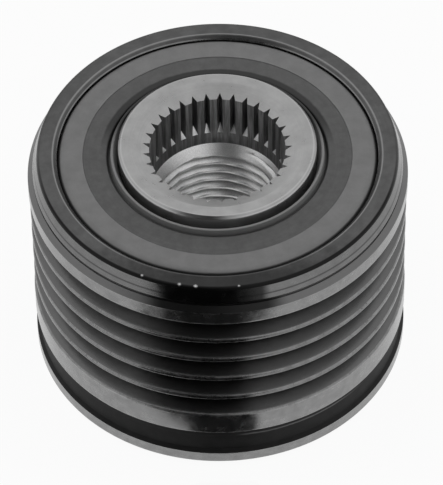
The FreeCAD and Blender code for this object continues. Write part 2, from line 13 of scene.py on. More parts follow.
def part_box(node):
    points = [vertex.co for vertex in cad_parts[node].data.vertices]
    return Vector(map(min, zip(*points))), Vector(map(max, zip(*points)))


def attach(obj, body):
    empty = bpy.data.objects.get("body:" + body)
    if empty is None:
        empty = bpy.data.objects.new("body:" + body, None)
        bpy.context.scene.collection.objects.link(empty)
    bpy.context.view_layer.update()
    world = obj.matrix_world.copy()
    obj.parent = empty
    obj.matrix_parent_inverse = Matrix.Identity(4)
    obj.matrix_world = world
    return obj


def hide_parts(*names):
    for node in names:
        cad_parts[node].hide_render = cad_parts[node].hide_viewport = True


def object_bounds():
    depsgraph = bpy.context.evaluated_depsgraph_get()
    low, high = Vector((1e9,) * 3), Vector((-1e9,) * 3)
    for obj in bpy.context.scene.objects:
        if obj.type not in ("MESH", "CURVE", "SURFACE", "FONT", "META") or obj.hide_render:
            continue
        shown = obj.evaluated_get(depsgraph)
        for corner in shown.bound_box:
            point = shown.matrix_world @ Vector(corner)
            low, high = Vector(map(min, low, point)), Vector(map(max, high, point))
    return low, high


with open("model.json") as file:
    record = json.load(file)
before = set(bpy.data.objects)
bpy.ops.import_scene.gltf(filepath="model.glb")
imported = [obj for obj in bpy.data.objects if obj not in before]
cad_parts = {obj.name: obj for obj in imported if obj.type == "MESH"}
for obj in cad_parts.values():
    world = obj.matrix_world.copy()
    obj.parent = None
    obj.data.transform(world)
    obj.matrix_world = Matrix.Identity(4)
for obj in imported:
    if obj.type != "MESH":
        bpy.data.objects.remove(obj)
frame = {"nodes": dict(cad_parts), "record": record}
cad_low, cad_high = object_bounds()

bl_info = {
    "name": "Alternator Pulley Looks",
    "version": (1, 0, 0),
    "blender": (4, 5, 0),
    "location": "3D View > Sidebar > Pulley",
    "description": "Turned ring, threaded hub, lip seals and inner parts of an overrunning alternator pulley",
    "category": "Object",
}

MM = 0.001
PHOTO_WIDTH, PHOTO_HEIGHT = 443, 485
WHITE = (1.0, 1.0, 1.0, 1.0)
BARE_STEEL = (0.5, 0.5, 0.5)

# Meshes: columns round a turned piece, rows in one turn of the thread, and where shading breaks
TURNED_COLUMNS = 192
ROWS_PER_PITCH = 16
SHARP_DEGREES = 32
THREAD_FLANK_DEGREES = 60

# Nicks in the face's outer edge: degrees from the front, and size in millimetres
NICKS = ((-25.0, 0.16), (-12.7, 0.2), (-7.6, 0.24), (6.0, 0.14))

# Studio, in metres and watts
FLOOR_HALF = 3.0
SOFTBOX_TARGET = (0.0, 0.0, 0.02)
SOFTBOX_SIZE = 0.3
SOFTBOXES = (("softbox_left", (-0.24, 0.03, 0.56), 0.6), ("softbox_right", (0.24, 0.03, 0.56), 0.5))
SENSOR_MM = 36.0

# Places of the looks, in millimetres
FINE_LINE = 1.38  # front face to the dark line round the neck
NECK_END = 2.3  # front face to the end of the neck's darker tone
FACE_END = 0.9  # front face to the end of its own looks, where the shoulder's begin
FACE_INSET = 1.5  # flange to the face's outer edge
RUBBED_OUT = 20.6  # radius inside which the edges are rubbed bright
PAINTED_HIGHLIGHT_HEIGHT = 5.8  # height of the painted highlight streak on the relief
LIP_END = 0.95  # hub to the end of the rubbed lip
FOLD_MIDDLE = 1.28  # hub to the middle of the rubber's fold
HUB_SHADOW_END = 2.2  # hub to the end of the painted shadow behind it
STREAK_STRETCH = 0.06  # how fast the socket's streaks change along the axis, against across it

# Places read from the frame
ring_low, ring_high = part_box("pulley_ring")
hub_low, hub_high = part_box("hub")
case_low, case_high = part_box("front_seal_case")
bore_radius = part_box("outer_sleeve")[1].x
seat_radius = case_high.x
seat_depth = ring_high.z - case_low.z


def number(name, description, value, **options):
    """A number that a user can change."""
    return bpy.props.FloatProperty(name=name, description=description, default=value, **options)


def length(name, description, millimetres):
    """A size that a user can change, shown in the scene's length unit."""
    size = millimetres * MM
    return number(name, description, size, min=0.0, precision=5, subtype="DISTANCE", unit="LENGTH")


def angle(name, description, degrees):
    """An angle that a user can change."""
    return number(name, description, math.radians(degrees), subtype="ANGLE", unit="ROTATION")


def share(name, description, value):
    """A number from 0 to 1 that a user can change."""
    return number(name, description, value, min=0.0, max=1.0, subtype="FACTOR")


def tone(name, description, *channels):
    """A colour that a user can change: red, green and blue, or one value for grey."""
    return bpy.props.FloatVectorProperty(
        name=name, description=description, default=channels if len(channels) == 3 else channels * 3, size=3,
        min=0.0, max=1.0, subtype="COLOR",
    )


class RingSettings(bpy.types.PropertyGroup):
    """Sizes and colours of the ribbed belt ring."""

    groove_count: bpy.props.IntProperty(name="Grooves", description="Belt grooves", default=5, min=1)
    groove_pitch: length("Groove Pitch", "Spacing of the belt grooves", 3.56)
    first_groove: length("First Groove", "Front face to the middle of the first groove", 6.73)
    rib_width: length("Rib Width", "Rib between two grooves' flanks at its tip", 0.6)
    groove_depth: length("Groove Depth", "Rib tip to the groove's bottom", 3.2)
    groove_angle: angle("Groove Angle", "Between a groove's two flanks", 40)
    rib_round: length("Rib Round", "Radius at each side of a rib's tip and of a groove's bottom", 0.2)
    rib_drop: length("Rib Drop", "Rib tips below the plain lands", 0.1)
    land_start: length("Land Start", "Front face to the front land", 3.2)
    neck_length: length("Neck Length", "Front face to the wide end of the neck", 2.1)
    neck_drop: length("Neck Drop", "Wide end of the neck below the lands", 0.6)
    cap_groove_width: length("Cap Groove Width", "Narrow groove behind the neck", 0.4)
    cap_groove_depth: length("Cap Groove Depth", "Depth of that groove below the neck", 0.2)
    face_drop: length("Face Drop", "Front face's edge below the lands", 1.3)
    face_round: length("Face Round", "Radius of the front face's outer edge", 0.3)
    rear_land: length("Rear Land", "Width of the plain land behind the last groove", 3.35)
    relief_drop: length("Relief Drop", "Relief below the lands at its front", 0.25)
    relief_foot: length("Relief Foot", "Relief below the lands at the rim", 0.4)
    relief_line: length("Relief Line", "Rear land to the fine step in the relief", 1.0)
    rim_height: length("Rim Height", "Height of the rear rim", 1.8)
    rim_slope: length("Rim Slope", "Height of the slope from the relief out to the rim", 0.5)
    rim_bevel: length("Rim Bevel", "Bevel at the rim's rear edge", 0.25)
    bevel: length("Seat Bevel", "Bevels at the mouths of both seal seats", 0.5)
    edge_round: length("Edge Round", "Radius left on the turned edges", 0.08)
    steel: tone("Burnished Steel", "Colour of the lands, ribs, neck and rim", 0.27)
    rib_share: share("Rib Share", "Rib tips' colour as a share of the lands'", 0.7)
    # The band takes the face's dark steel as painted shade along the edge behind the face's rounding
    shaded_band: length("Shaded Band", "Blackened band on the neck behind the face's rounding", 0.42)
    face_steel: tone("Face Steel", "Colour of the blackened front face and shoulder", 0.10)
    relief_black: tone("Relief Black", "Colour of the matt relief", 0.012)
    flank_steel: tone("Flank Steel", "Colour of the groove flanks", 0.13)


class HubSettings(bpy.types.PropertyGroup):
    """Sizes and colours of the threaded hub."""

    mouth_radius: length("Mouth Radius", "Wide end of the socket's conical mouth", 10.5)
    mouth_angle: angle("Mouth Angle", "Slope of the cone below the front face", 23.7)
    tooth_count: bpy.props.IntProperty(name="Teeth", description="Teeth of the socket", default=33, min=3)
    tooth_root: length("Tooth Root", "Radius at the roots of the teeth", 9.2)
    tooth_tip: length("Tooth Tip", "Radius inside the teeth", 8.4)
    tooth_angle: angle("Tooth Angle", "Angle of the space between two teeth", 48)
    tooth_depth: length("Tooth Depth", "Front face to where the roots run out", 5.85)
    tooth_runout: length("Run-out", "Length over which the roots run out", 1.0)
    socket_depth: length("Socket Depth", "Front face to the end of the socket bore", 8.8)
    thread_minor: length("Thread Minor", "Minor radius of the thread", 7.188)
    thread_major: length("Thread Major", "Major radius of the thread", 8.0)
    thread_pitch: length("Thread Pitch", "Pitch of the thread", 1.5)
    thread_phase: share("Thread Phase", "Share of a turn by which the thread's start is moved on", 0.82)
    pilot_radius: length("Pilot Radius", "Pilot bore at the rear", 8.5)
    pilot_depth: length("Pilot Depth", "Depth of the pilot bore", 8.0)
    front_bevel: length("Front Bevel", "Bevel at the front edge", 0.35)
    rear_bevel: length("Rear Bevel", "Bevels at the rear edges", 0.5)
    edge_round: length("Edge Round", "Radius left on the turned edges", 0.08)
    shoulder_round: length("Shoulder Round", "Radius between the front bevel and the hub's outside", 0.3)
    mouth_round: length("Mouth Round", "Radius between the front face and the mouth's cone", 0.6)
    steel: tone("Turned Steel", "Colour of the turned faces", 0.35)
    socket_steel: tone("Socket Steel", "Colour of the oiled socket", 0.30)
    cut_steel: tone("Cut Steel", "Colour of the teeth's run-outs, the cone and the thread", 0.84)


class SealSettings(bpy.types.PropertyGroup):
    """Sizes and colours of both lip seals."""

    case_wall: length("Case Wall", "Sheet of the steel case", 0.5)
    case_bend: length("Case Bend", "Outside bend of the case", 0.9)
    case_face: length("Case Face", "Face of the case, from its outside to its opening", 3.2)
    bond_width: length("Bond Width", "Rubber bonded behind the case", 1.6)
    bond_thickness: length("Bond Thickness", "Thickness of that rubber", 0.6)
    rubber_drop: length("Rubber Drop", "Rubber's face below the case's", 0.06)
    fold_gap: length("Fold Gap", "Hub to the fold in the rubber", 1.3)
    fold_width: length("Fold Width", "Width of the fold at its bottom", 0.3)
    fold_depth: length("Fold Depth", "Depth of the fold below the ring's face", 0.9)
    lip_gap: length("Lip Gap", "Hub to the outside of the dust lip's crest", 0.9)
    lip_width: length("Lip Width", "Crest of the dust lip", 0.3)
    lip_rise: length("Lip Rise", "Dust lip in front of the ring's face", 0.2)
    seal_depth: length("Sealing Depth", "Ring's face to the sealing lip's edge", 1.5)
    seal_width: length("Sealing Width", "Band of the lip at the hub", 0.3)
    seal_gap: length("Sealing Gap", "Sealing lip to the hub", 0.05)
    heel_depth: length("Heel Depth", "Ring's face to the back of the lip", 2.2)
    case_steel: tone("Case Steel", "Colour of the phosphated case", 0.197)
    rubber: tone("Rubber", "Colour of the rubber", 0.095)


class InnerSettings(bpy.types.PropertyGroup):
    """Colours of the parts inside the ring."""

    race_steel: tone("Race Steel", "Colour of the ground sleeves", 0.56)
    roller_steel: tone("Roller Steel", "Colour of the rollers and needles", 0.66)
    spring_steel: tone("Spring Steel", "Colour of the accordion springs", 0.42)
    cage_nylon: tone("Cage Nylon", "Colour of the three cages", 0.56, 0.49, 0.36)
    washer_nylon: tone("Washer Nylon", "Colour of the thrust washers", 0.07)


class StudioSettings(bpy.types.PropertyGroup):
    """Camera, floor and lights."""

    camera_elevation: angle("Elevation", "Camera above the horizon, from the ring's face", 47.14)
    camera_distance: length("Distance", "Camera to the middle of the ring's face", 516.3)
    camera_roll: angle("Roll", "Camera turned clockwise about its line of sight", 0.99)
    focal_pixels: number("Focal Length", "Focal length in pixels of the photo", 4195.7, min=1.0)
    face_column: number("Face Column", "Pixel column of the ring face's middle in the photo", 219.04)
    face_row: number("Face Row", "Pixel row of the ring face's middle in the photo", 151.83)
    floor_tone: tone("Floor", "Colour of the floor", 0.80)
    floor_paper: share("White Paper", "Share of the floor that shows as plain white", 0.94)
    world_strength: share("World", "Strength of the even studio light", 0.5)
    flag_lift: length("Card Lift", "Black card above the floor", 0.1)
    flag_height: length("Card Height", "Height of the black card's upright and of its roof", 400.0)


def rounded_outline(corners, fade=0.15 * MM, steps=4):
    """Closed outline in (radius, height) whose corners are arcs, and each point's share of wear.

    An arc's centre lies on the corner's bisector, its radius over the sine of the half angle away.
    Its points turn in equal steps from one side's foot of the perpendicular to the other's. One more
    point on each side keeps that side flat. Wear is 1 on an arc that stands out and 0 elsewhere.
    """
    corners = np.array(corners, float)
    place, radius = corners[:, :2], corners[:, 2:]
    ahead = np.roll(place, -1, axis=0) - place
    side = np.linalg.norm(ahead, axis=1, keepdims=True)
    ahead /= side
    back = -np.roll(ahead, 1, axis=0)
    half = np.arccos(np.clip((back * ahead).sum(1, keepdims=True), -1, 1)) / 2
    middle = (back + ahead) / np.linalg.norm(back + ahead, axis=1, keepdims=True)
    centre = place + middle * radius / np.sin(half)
    reach = radius / np.tan(half)
    straight = side - reach - np.roll(reach, -1, axis=0)
    rest_ahead = np.minimum(fade, 0.4 * straight)
    rest_back = np.roll(rest_ahead, 1, axis=0)
    turn = (np.pi - 2 * half)[:, None]
    first, last = place + back * reach - centre, place + ahead * reach - centre
    u = np.linspace(0, 1, steps + 1)[None, :, None]
    arc = (np.sin((1 - u) * turn) * first[:, None] + np.sin(u * turn) * last[:, None]) / np.sin(turn)
    before = place + back * (reach + rest_back)
    after = place + ahead * (reach + rest_ahead)
    points = np.concatenate([before[:, None], arc + centre[:, None], after[:, None]], axis=1)
    outward = (ahead[:, 0] * back[:, 1] - ahead[:, 1] * back[:, 0]) > 0
    wear = np.zeros(points.shape[:2])
    wear[:, 1:-1] = outward[:, None]
    return points.reshape(-1, 2), wear.ravel()


def ring_mesh(name, radius, height, angles, wear):
    """Closed tube of quads: point (row, column) lies at radius, height and that column's angle.

    radius and height are (rows, columns) arrays, and the last row and column join the first.
    """
    rows, columns = radius.shape
    points = np.stack([radius * np.cos(angles), radius * np.sin(angles), height], axis=-1).reshape(-1, 3)
    row, column = np.meshgrid(np.arange(rows), np.arange(columns), indexing="ij")
    next_row, next_column = (row + 1) % rows, (column + 1) % columns
    quads = np.stack([
        row * columns + column,
        row * columns + next_column,
        next_row * columns + next_column,
        next_row * columns + column,
    ], axis=-1).reshape(-1, 4)
    mesh = bpy.data.meshes.new(name)
    mesh.vertices.add(len(points))
    mesh.vertices.foreach_set("co", points.astype(np.float32).ravel())
    mesh.loops.add(quads.size)
    mesh.loops.foreach_set("vertex_index", quads.astype(np.int32).ravel())
    mesh.polygons.add(len(quads))
    mesh.polygons.foreach_set("loop_start", np.arange(0, quads.size, 4, dtype=np.int32))
    mesh.update(calc_edges=True)
    worn = mesh.attributes.new("wear", "FLOAT", "POINT")
    worn.data.foreach_set("value", np.repeat(wear, columns).astype(np.float32))
    mesh.shade_smooth()
    mesh.set_sharp_from_angle(angle=math.radians(SHARP_DEGREES))
    return mesh


def turned_mesh(name, corners):
    """Surface of revolution of a rounded outline about the Z axis."""
    outline, wear = rounded_outline(corners)
    angles = np.linspace(0, 2 * np.pi, TURNED_COLUMNS, endpoint=False)
    radius = np.repeat(outline[:, :1], TURNED_COLUMNS, axis=1)
    height = np.repeat(outline[:, 1:], TURNED_COLUMNS, axis=1)
    return ring_mesh(name, radius, height, angles, wear)


def add_object(name, data):
    """A new object in the scene's collection."""
    made = bpy.data.objects.new(name, data)
    bpy.context.scene.collection.objects.link(made)
    return made


def add_piece(mesh, body, node, materials):
    """The mesh as a piece that rides on a body and stands for one node of the frame."""
    piece = add_object(mesh.name, mesh)
    for material in materials:
        mesh.materials.append(material)
    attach(piece, body)
    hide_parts(node)
    return piece


class Finish:
    """One material's nodes, which read object space in millimetres, and its colour as laid up so far."""

    def __init__(self, name, shade):
        self.shade = self.base = shade
        self.material = bpy.data.materials.new(name)
        self.material.use_nodes = True
        self.tree = self.material.node_tree
        self.shader = self.tree.nodes["Principled BSDF"]
        metres = self.tree.nodes.new("ShaderNodeTexCoord").outputs["Object"]
        self.place = self.add("ShaderNodeMapping", Vector=metres, Scale=[1 / MM] * 3).outputs["Vector"]
        parts = self.add("ShaderNodeSeparateXYZ", Vector=self.place)
        self.x, self.y, self.z = parts.outputs
        squares = [self.math("POWER", axis, 2.0) for axis in (self.x, self.y)]
        self.radius = self.math("SQRT", self.math("ADD", *squares))

    def add(self, kind, settings=None, *values, **inputs):
        """A node whose inputs are set in order or by name, each to a value or to another node's socket."""
        node = self.tree.nodes.new(kind)
        for key, value in (settings or {}).items():
            setattr(node, key, value)
        for socket, value in zip(node.inputs, values):
            self.feed(socket, value)
        for key, value in inputs.items():
            self.feed(node.inputs[key.replace("_", " ")], value)
        return node

    def feed(self, socket, value):
        """Links a socket to another, or sets its value."""
        if isinstance(value, bpy.types.NodeSocket):
            self.tree.links.new(value, socket)
        else:
            socket.default_value = value

    def math(self, operation, first, second=0.0, clamp=False):
        """One Math node's result."""
        settings = {"operation": operation, "use_clamp": clamp}
        return self.add("ShaderNodeMath", settings, first, second).outputs[0]

    def product(self, *factors):
        """The factors multiplied together."""
        total = factors[0]
        for factor in factors[1:]:
            total = self.math("MULTIPLY", total, factor)
        return total

    def gap(self, value, middle):
        """How far a value lies from a middle, to either side."""
        return self.math("ABSOLUTE", self.math("SUBTRACT", value, middle))

    def fit(self, value, low, high, to_low=0.0, to_high=1.0, smooth=False):
        """Maps low to high onto to_low to to_high, and holds it there beyond."""
        node = self.add(
            "ShaderNodeMapRange", {"interpolation_type": "SMOOTHSTEP" if smooth else "LINEAR"},
            Value=value, From_Min=low, From_Max=high, To_Min=to_low, To_Max=to_high,
        )
        return node.outputs["Result"]

    def noise(self, scale, detail=3.0, roughness=0.55, vector=None):
        """Noise with this many cells a millimetre."""
        place = vector or self.place
        node = self.add("ShaderNodeTexNoise", Vector=place, Scale=scale, Detail=detail, Roughness=roughness)
        return node.outputs["Fac"]

    def moved(self, value, pattern, reach):
        """The value moved on by a pattern times a reach."""
        return self.math("ADD", value, self.product(pattern, reach))

    def turning_lines(self, scale, wander=0.02, detail=3.0):
        """Noise drawn out round the axis, as a turning tool leaves it."""
        across = self.moved(self.radius, self.x, wander)
        along = self.moved(self.z, self.y, wander)
        vector = self.add("ShaderNodeCombineXYZ", X=across, Y=along).outputs["Vector"]
        return self.noise(scale, detail, 0.6, vector)

    def mix(self, amount, first, second):
        """Colour between two colours or sockets."""
        node = self.add("ShaderNodeMix", {"data_type": "RGBA"})
        self.feed(node.inputs[0], amount)
        self.feed(node.inputs[6], colour(first))
        self.feed(node.inputs[7], colour(second))
        return node.outputs[2]

    def mottle(self, pattern, low, high, darker, lighter):
        """Lays up the shade times darker to lighter, as the pattern goes from low to high."""
        amount = self.fit(pattern, low, high)
        self.base = self.mix(amount, scaled(self.shade, darker), scaled(self.shade, lighter))

    def lay(self, amount, factor):
        """Lays the shade times a factor over the base by an amount."""
        self.base = self.mix(amount, self.base, scaled(self.shade, factor))

    def worn_edges(self):
        """The mesh's share of wear, which is 1 on the edges that stand out."""
        return self.add("ShaderNodeAttribute", {"attribute_name": "wear"}).outputs["Fac"]

    def front_half(self):
        """1 before the axis and 0 behind it."""
        return self.fit(self.y, -1.0, 0.0, 1.0, 0.0)

    def front_shade(self, wander, full, gone):
        """Painted shade on the front: all of it up to full millimetres beside the middle, and none past gone.
        """
        beside = self.math("ABSOLUTE", self.math("ADD", self.x, self.math("ADD", 0.2, wander)))
        return self.product(self.fit(beside, full, gone, 0.9, 0.0, smooth=True), self.front_half())

    def bump(self, height, strength, depth, normal=None):
        """Relief of a height in millimetres times depth."""
        node = self.add("ShaderNodeBump", Height=height, Strength=strength, Distance=depth * MM)
        if normal is not None:
            self.feed(node.inputs["Normal"], normal)
        return node.outputs["Normal"]

    def finish(self, **inputs):
        """Feeds the shader its colour and the named inputs, and gives back the material."""
        self.feed(self.shader.inputs["Base Color"], colour(self.base))
        for key, value in inputs.items():
            self.feed(self.shader.inputs[key.replace("_", " ")], value)
        return self.material


def colour(value):
    """A colour with its alpha, or the socket that it came as."""
    if isinstance(value, bpy.types.NodeSocket):
        return value
    return (*value[:3], 1.0)


def scaled(value, factor):
    """A colour made lighter or darker by a factor."""
    return tuple(min(1.0, part * factor) for part in value[:3])


def burnished_steel(name, steel, roughness=0.22):
    """Dark oiled steel: turning lines, mottled oxide, worn edges, and a darker neck with painted shade on its
    front.
    """
    look = Finish(name, steel)
    lines = look.turning_lines(7.0)
    mottle = look.noise(0.7, 5.0, 0.6)
    worn = look.worn_edges()
    face = ring_high.z / MM
    look.mottle(mottle, 0.35, 0.7, 0.82, 1.18)
    look.lay(look.fit(lines, 0.3, 0.75, 0.0, 0.3), 0.6)
    look.lay(look.product(worn, look.fit(look.noise(0.9, 4.0), 0.35, 0.6), 0.5), 1.5)
    look.lay(look.fit(look.gap(look.z, face - FINE_LINE), 0.06, 0.14, 0.85, 0.0), 0.1)
    on_neck = look.fit(look.z, face - NECK_END, face - NECK_END + 0.1)
    look.lay(look.product(on_neck, 0.5), 0.4)
    # Painted shade: the neck darker at its front
    look.lay(look.product(look.front_shade(mottle, 5.6, 7.0), on_neck), 0.06)
    rough = look.fit(mottle, 0.3, 0.75, roughness - 0.06, roughness + 0.1)
    rough = look.math("ADD", rough, look.product(worn, 0.06), clamp=True)
    relief = look.bump(look.noise(9.0), 0.12, 0.01, look.bump(lines, 0.35, 0.012))
    return look.finish(Metallic=0.9, Roughness=rough, Normal=relief)


def face_steel(name, steel):
    """Blackened face and shoulder: tool lines, stains, painted shade on the rounding and the front, and
    nicks.
    """
    look = Finish(name, steel)
    lines = look.turning_lines(9.0, 0.01)
    stain = look.noise(0.6, 5.0, 0.6)
    face, edge = ring_high.z / MM, ring_high.x / MM - FACE_INSET
    look.mottle(stain, 0.35, 0.7, 0.82, 1.15)
    look.lay(look.fit(lines, 0.3, 0.75, 0.0, 0.35), 0.66)
    rubbed = look.fit(look.radius, RUBBED_OUT, RUBBED_OUT + 0.3, 1.0, 0.0)
    look.lay(look.product(look.worn_edges(), rubbed, 0.6), 3.4)
    # Painted shade: the face darker towards its front
    look.lay(look.fit(look.moved(look.y, stain, 4.0), -19.0, -12.0, 0.72, 0.0, smooth=True), 0.1)
    on_face = look.fit(look.z, face - FACE_END, face - FACE_END + 0.1)
    # Painted shade on the face's outer rounding, strongest at the front
    rounding = look.fit(look.radius, edge - 0.12, edge + 0.02)
    look.lay(look.product(rounding, look.fit(look.y, -8.0, 0.0, 1.0, 0.3), on_face), 0.1)
    shoulder = look.math("SUBTRACT", 1.0, on_face)
    look.lay(shoulder, 1.5)
    # Painted shade on the shoulder's front
    look.lay(look.product(shoulder, look.front_shade(stain, 6.2, 9.2)), 0.1)
    for degrees, size in NICKS:
        turn = math.radians(degrees)
        nick = (edge * math.sin(turn), -edge * math.cos(turn), face)
        away = look.add("ShaderNodeVectorMath", {"operation": "DISTANCE"}, look.place, nick).outputs["Value"]
        spot = look.moved(away, look.noise(5.0), 0.3)
        look.base = look.mix(look.fit(spot, size, size + 0.2, 1.0, 0.0), look.base, BARE_STEEL)
    relief = look.bump(look.noise(9.0), 0.12, 0.01, look.bump(lines, 0.3, 0.01))
    return look.finish(Metallic=0.85, Roughness=0.4, Normal=relief)


def flank_steel(name, steel, middle, pitch):
    """Belt groove flanks: satin steel, painted light on the hidden flank above each groove's middle, and
    painted shade deepening towards the bottoms.
    """
    look = Finish(name, steel)
    lines = look.turning_lines(8.0)
    depth = look.math("SUBTRACT", ring_high.x / MM, look.radius)
    look.lay(look.fit(lines, 0.3, 0.75, 0.0, 0.35), 0.66)
    # Painted shade: darker towards the groove bottoms
    look.lay(look.fit(look.moved(depth, look.noise(1.1, 5.0, 0.65), 0.8), 0.9, 2.9, smooth=True), 0.08)
    # Painted light: the hidden flank above each groove's middle is made lighter, so the flank below reflects
    # it
    grooves = look.math("ADD", look.math("DIVIDE", look.math("SUBTRACT", look.z, middle), pitch), 0.5)
    painted_light_flank = look.fit(look.math("FRACT", grooves), 0.49, 0.51)
    look.lay(look.product(painted_light_flank, 0.9), 4.2)
    return look.finish(Metallic=0.9, Roughness=0.24, Normal=look.bump(lines, 0.35, 0.012))


def matt_black(name, black):
    """Black coating left matt where nothing rubs it: fine grain and one painted highlight streak."""
    look = Finish(name, black)
    grain = look.noise(12.0, 4.0, 0.7)
    cloud = look.noise(0.5, 4.0)
    look.lay(look.fit(cloud, 0.35, 0.75), 1.9)
    # Painted highlight: a light streak at one height on the front right
    off_highlight = look.gap(look.moved(look.z, cloud, 0.3), PAINTED_HIGHLIGHT_HEIGHT)
    along = look.product(look.fit(look.x, 1.5, 3.5, smooth=True), look.fit(look.x, 14.0, 18.0, 1.0, 0.0))
    look.lay(look.product(look.fit(off_highlight, 0.08, 0.3, 0.7, 0.0), along, look.front_half()), 30.0)
    rough = look.fit(grain, 0.3, 0.7, 0.5, 0.68)
    relief = look.bump(grain, 0.25, 0.02)
    return look.finish(Metallic=0.0, Roughness=rough, Specular_IOR_Level=0.15, Normal=relief)


def turned_steel(name, steel, roughness=0.3):
    """Bare turned steel: close tool lines, faint stains and brighter edges."""
    look = Finish(name, steel)
    lines = look.turning_lines(9.0, 0.01)
    stain = look.noise(0.45, 5.0, 0.6)
    look.mottle(stain, 0.35, 0.7, 0.86, 1.08)
    look.lay(look.fit(lines, 0.35, 0.7, 0.0, 0.25), 0.7)
    look.lay(look.product(look.worn_edges(), 0.5), 1.4)
    rough = look.fit(stain, 0.3, 0.75, roughness - 0.04, roughness + 0.08)
    return look.finish(Metallic=1.0, Roughness=rough, Normal=look.bump(lines, 0.3, 0.01))


def socket_steel(name, steel):
    """Oiled broached socket: streaks along the axis, with painted shade that darkens them below the mouth."""
    look = Finish(name, steel)
    stretch = (1.0, 1.0, STREAK_STRETCH)
    stretched = look.add("ShaderNodeVectorMath", {"operation": "MULTIPLY"}, look.place, stretch)
    streaks = look.noise(3.0, 4.0, 0.65, stretched.outputs["Vector"])
    depth = look.math("SUBTRACT", hub_high.z / MM, look.z)
    look.mottle(streaks, 0.42, 0.62, 0.6, 1.45)
    # Painted shade: darker deeper below the mouth
    look.lay(look.fit(depth, 0.6, 4.5, 0.0, 0.35, smooth=True), 0.3)
    return look.finish(Metallic=0.85, Roughness=0.42, Normal=look.bump(streaks, 0.3, 0.02))


def cut_steel(name, steel):
    """Bare cut steel of the thread and of the broach's run-outs: satin with fine tool marks."""
    look = Finish(name, steel)
    lines = look.turning_lines(12.0, 0.03)
    look.mottle(look.noise(7.0, 4.0, 0.6), 0.35, 0.7, 0.85, 1.12)
    look.lay(look.fit(lines, 0.35, 0.7, 0.0, 0.25), 0.7)
    return look.finish(Metallic=0.9, Roughness=0.38, Normal=look.bump(lines, 0.2, 0.01))


def phosphated_sheet(name, steel):
    """Grey phosphated sheet of the seal cases: fine crystal grain, stains, and painted shade of the gap at
    the seat.
    """
    look = Finish(name, steel)
    grain = look.noise(14.0, 4.0, 0.7)
    cloud = look.noise(0.55, 5.0, 0.6)
    seat = seat_radius / MM
    look.mottle(cloud, 0.3, 0.75, 0.88, 1.12)
    look.lay(look.fit(grain, 0.4, 0.7, 0.0, 0.35), 0.7)
    # Painted shade in the gap between the case and the seat
    look.lay(look.fit(look.moved(look.radius, cloud, 0.12), seat - 0.42, seat - 0.2, smooth=True), 0.08)
    return look.finish(Metallic=0.35, Roughness=0.55, Normal=look.bump(grain, 0.2, 0.012))


def seal_rubber(name, rubber):
    """Moulded nitrile rubber: flow rings, dust, a rubbed lip, painted shade in the fold and a painted shadow
    behind the hub.
    """
    look = Finish(name, rubber)
    rings = look.turning_lines(2.2, 0.03, 2.0)
    dust = look.noise(0.8, 5.0, 0.65)
    from_hub = look.math("SUBTRACT", look.radius, hub_high.x / MM)
    look.mottle(dust, 0.35, 0.75, 0.82, 1.2)
    look.lay(look.fit(rings, 0.4, 0.7, 0.0, 0.35), 0.72)
    look.lay(look.fit(from_hub, LIP_END, LIP_END + 0.1, 1.0, 0.0), 2.6)
    # Painted shade: a dark line in the fold
    look.lay(look.fit(look.gap(from_hub, FOLD_MIDDLE), 0.12, 0.26, 0.9, 0.0), 0.1)
    # Painted shadow of the hub on the rubber behind it
    hub_shadow = look.fit(look.moved(from_hub, dust, 0.2), HUB_SHADOW_END, HUB_SHADOW_END + 0.25, 0.95, 0.0)
    look.lay(look.product(hub_shadow, look.fit(look.y, 0.0, 6.0, smooth=True)), 0.08)
    relief = look.bump(look.noise(10.0, 4.0, 0.7), 0.25, 0.02)
    return look.finish(Metallic=0.0, Roughness=0.62, Normal=relief)


def ground_steel(name, steel, roughness=0.2):
    """Hardened and ground steel: very fine lines round the axis."""
    look = Finish(name, steel)
    lines = look.turning_lines(20.0, 0.01)
    look.mottle(lines, 0.3, 0.7, 0.9, 1.06)
    return look.finish(Metallic=1.0, Roughness=roughness, Normal=look.bump(lines, 0.15, 0.004))


def filled_nylon(name, nylon):
    """Glass-filled nylon: fibre specks and a satin moulded skin."""
    look = Finish(name, nylon)
    fibres = look.noise(6.0, 5.0, 0.7)
    look.mottle(fibres, 0.4, 0.65, 0.9, 1.08)
    return look.finish(Metallic=0.0, Roughness=0.45, Normal=look.bump(fibres, 0.2, 0.02))


def ring_places(sizes):
    """Heights of the last groove's middle, the rear land's end, the rim's top and the neck's end."""
    last = ring_high.z - sizes.first_groove - (sizes.groove_count - 1) * sizes.groove_pitch
    land_end = last - (sizes.groove_pitch - sizes.rib_width) / 2 - sizes.rear_land
    return last, land_end, ring_low.z + sizes.rim_height, ring_high.z - sizes.neck_length


